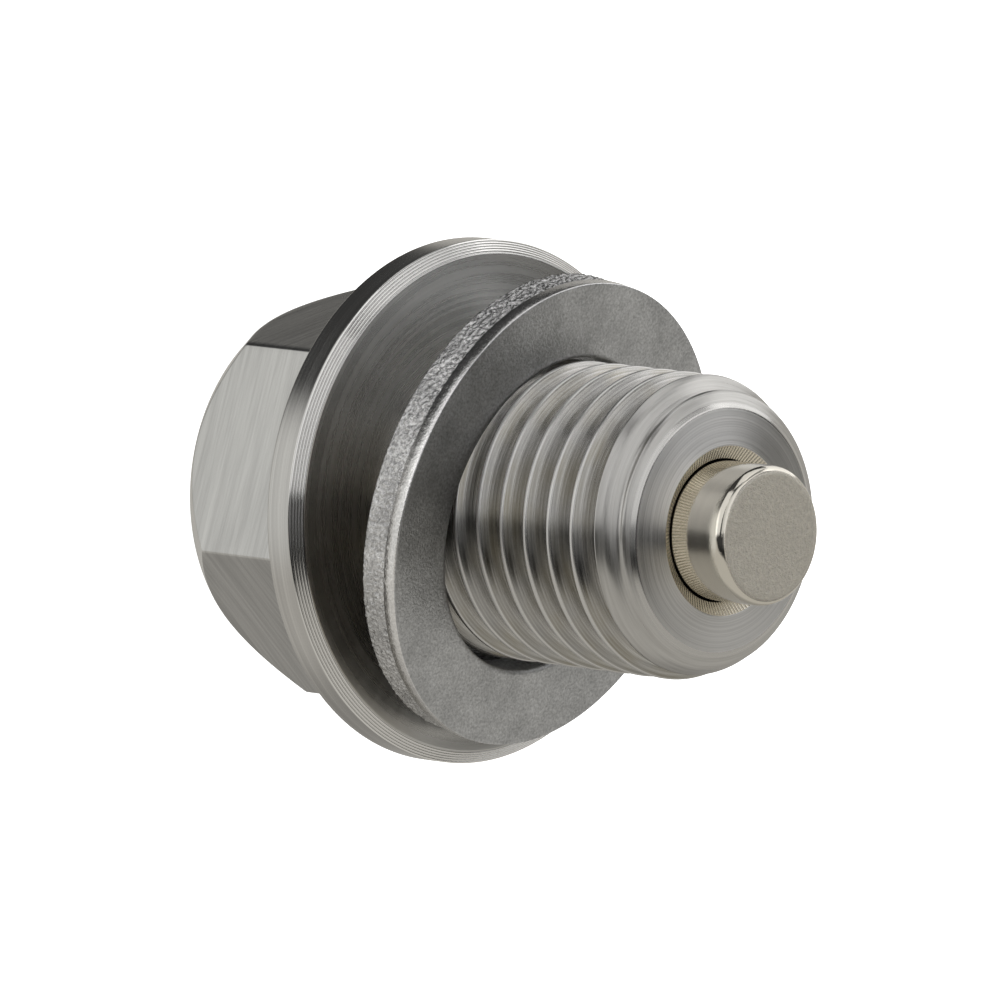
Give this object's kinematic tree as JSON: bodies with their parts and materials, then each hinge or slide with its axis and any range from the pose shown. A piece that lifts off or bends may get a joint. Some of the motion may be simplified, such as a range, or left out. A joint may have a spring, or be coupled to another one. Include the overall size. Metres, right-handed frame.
{
  "type": "oil drain plug",
  "caption": "Magnetic oil drain plug, M14 x 1.5, with a 17 mm flanged hex head, a bar magnet in its tip and a loose sealing ring on its thread.",
  "frame": {"origin": "centre of the hex head's flat end, on the thread axis", "axes": "+Z along the thread axis from the head to the magnet; two of the hexagon's flats face +X and -X"},
  "size_m": [0.0242, 0.0242, 0.0293],
  "materials": {
    "plug_steel": "machined steel with fine turning marks and a light film of oil",
    "magnet_nickel": "nickel plated, bright on its side and speckled matte on its end",
    "ring_aluminium": "matte punched sheet with a rough sheared edge"
  },
  "bodies": {
    "root": {"plug_body": "plug_steel", "magnet": "magnet_nickel", "sealing_washer": "ring_aluminium"}
  },
  "joints": []
}
